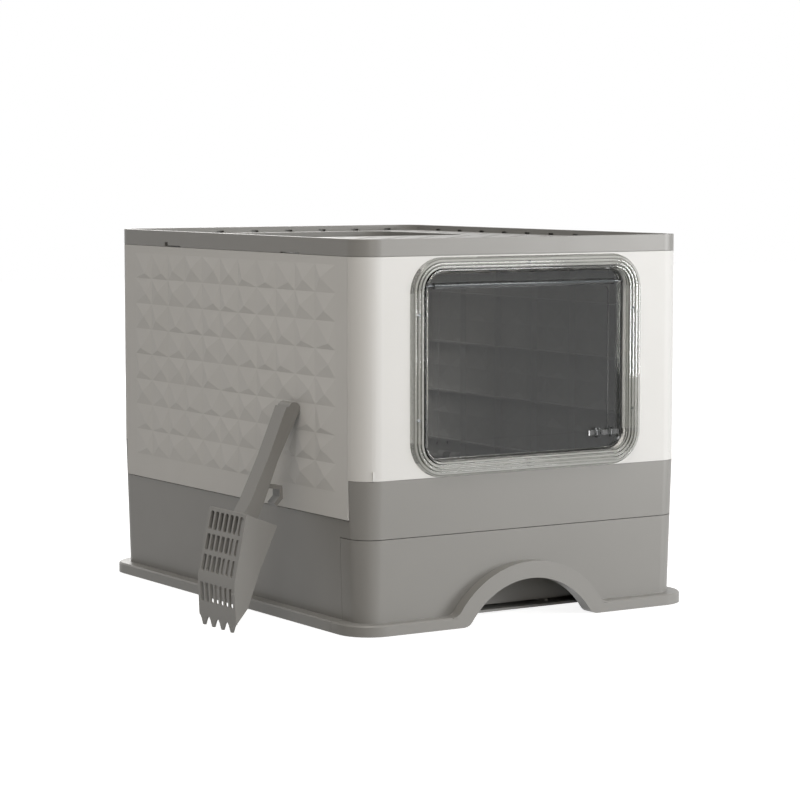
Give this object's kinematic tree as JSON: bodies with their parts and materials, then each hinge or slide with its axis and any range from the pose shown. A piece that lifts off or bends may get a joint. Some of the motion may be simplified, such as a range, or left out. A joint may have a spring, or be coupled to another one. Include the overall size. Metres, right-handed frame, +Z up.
{
  "type": "top entry litter box",
  "caption": "Rectangular top entry litter box with folding side walls, framed see-through front flap, arched pull-out drawer, perforated lid with entry opening and slotted scoop.",
  "frame": {"origin": "On the underside of the middle rubber foot, in the middle of the box's plan, on the floor", "axes": "+Z up, -Y out of the front with the window and drawer, +X to the right seen from the front; the scoop leans on the -X wall"},
  "size_m": [0.487, 0.528, 0.38],
  "materials": {
    "grey_plastic": "satin",
    "white_plastic": "satin",
    "clear_plastic": "polished",
    "smoked_plastic": "polished",
    "rubber": "matte",
    "steel": "satin"
  },
  "bodies": {
    "housing": {"base_housing": "grey_plastic", "rubber_feet": "rubber", "front_wall": "white_plastic", "rear_wall": "white_plastic", "left_hinge_pins": "steel", "right_hinge_pins": "steel", "front_hinge_pins": "steel", "rear_hinge_pins": "steel", "window_bezel": "clear_plastic", "window_retainer": "white_plastic", "window_screws": "steel", "flap_pin": "steel"},
    "drawer": {"drawer_front": "grey_plastic", "litter_pan": "grey_plastic", "drawer_screws": "steel"},
    "left_wall": {"left_wall": "white_plastic"},
    "right_wall": {"right_wall": "white_plastic"},
    "flap": {"window_flap": "smoked_plastic"},
    "latch": {"flap_latch": "clear_plastic"},
    "lid": {"lid": "grey_plastic"},
    "scoop": {"scoop": "grey_plastic"}
  },
  "joints": [
    {"name": "drawer_slide", "type": "slide", "parent": "housing", "child": "drawer", "axis": [0, -1, 0], "range_m": [0, 0.36]},
    {"name": "flap_hinge", "type": "hinge", "parent": "housing", "child": "flap", "pos_m": [0, -0.249, 0.334], "axis": [-1, 0, 0], "range_deg": [-75, 75]},
    {"name": "flap_latch_slide", "type": "slide", "parent": "flap", "child": "latch", "axis": [1, 0, 0], "range_m": [0, 0.0075]},
    {"name": "lid_lift", "type": "slide", "parent": "housing", "child": "lid", "axis": [0, 0, 1], "range_m": [0, 0.15]},
    {"name": "left_wall_fold", "type": "hinge", "parent": "housing", "child": "left_wall", "pos_m": [-0.186, 0, 0.115], "axis": [0, 1, 0], "range_deg": [0, 83]},
    {"name": "right_wall_fold", "type": "hinge", "parent": "housing", "child": "right_wall", "pos_m": [0.186, 0, 0.115], "axis": [0, -1, 0], "range_deg": [0, 90]},
    {"name": "scoop_lift", "type": "slide", "parent": "housing", "child": "scoop", "axis": [-0.5, 0, 0.866], "range_m": [0, 0.2]}
  ]
}
